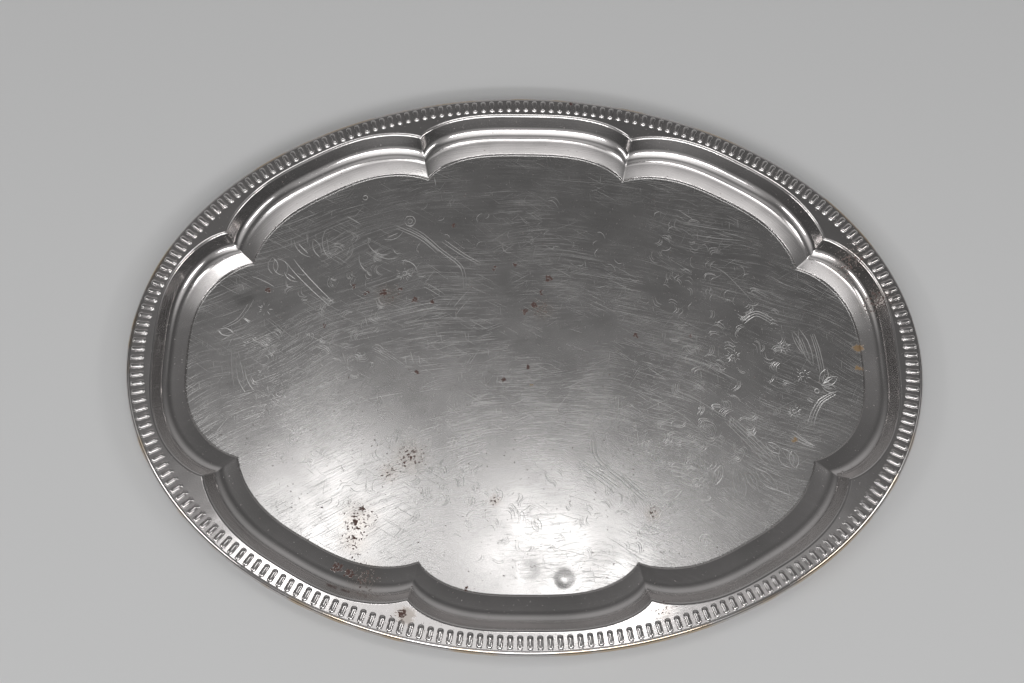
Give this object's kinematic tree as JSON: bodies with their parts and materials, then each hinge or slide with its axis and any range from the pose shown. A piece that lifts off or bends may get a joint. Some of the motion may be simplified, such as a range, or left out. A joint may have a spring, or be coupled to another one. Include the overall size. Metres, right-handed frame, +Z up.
{
  "type": "oval serving tray",
  "caption": "Oval serving tray of pressed, plated steel with a shallow lobed well, a beaded flat rim and a curled edge over a stiffening wire.",
  "frame": {"origin": "centre of the underside of the floor, which is the plane the tray stands on", "axes": "+X along the tray's length, +Y across its width, +Z up out of the well"},
  "size_m": [0.4, 0.3, 0.0132],
  "materials": {
    "plated_sheet": "bright plate, worn and scratched",
    "wire_steel": "plain drawn steel"
  },
  "bodies": {
    "root": {"tray_body": "plated_sheet", "edge_wire": "wire_steel"}
  },
  "joints": []
}
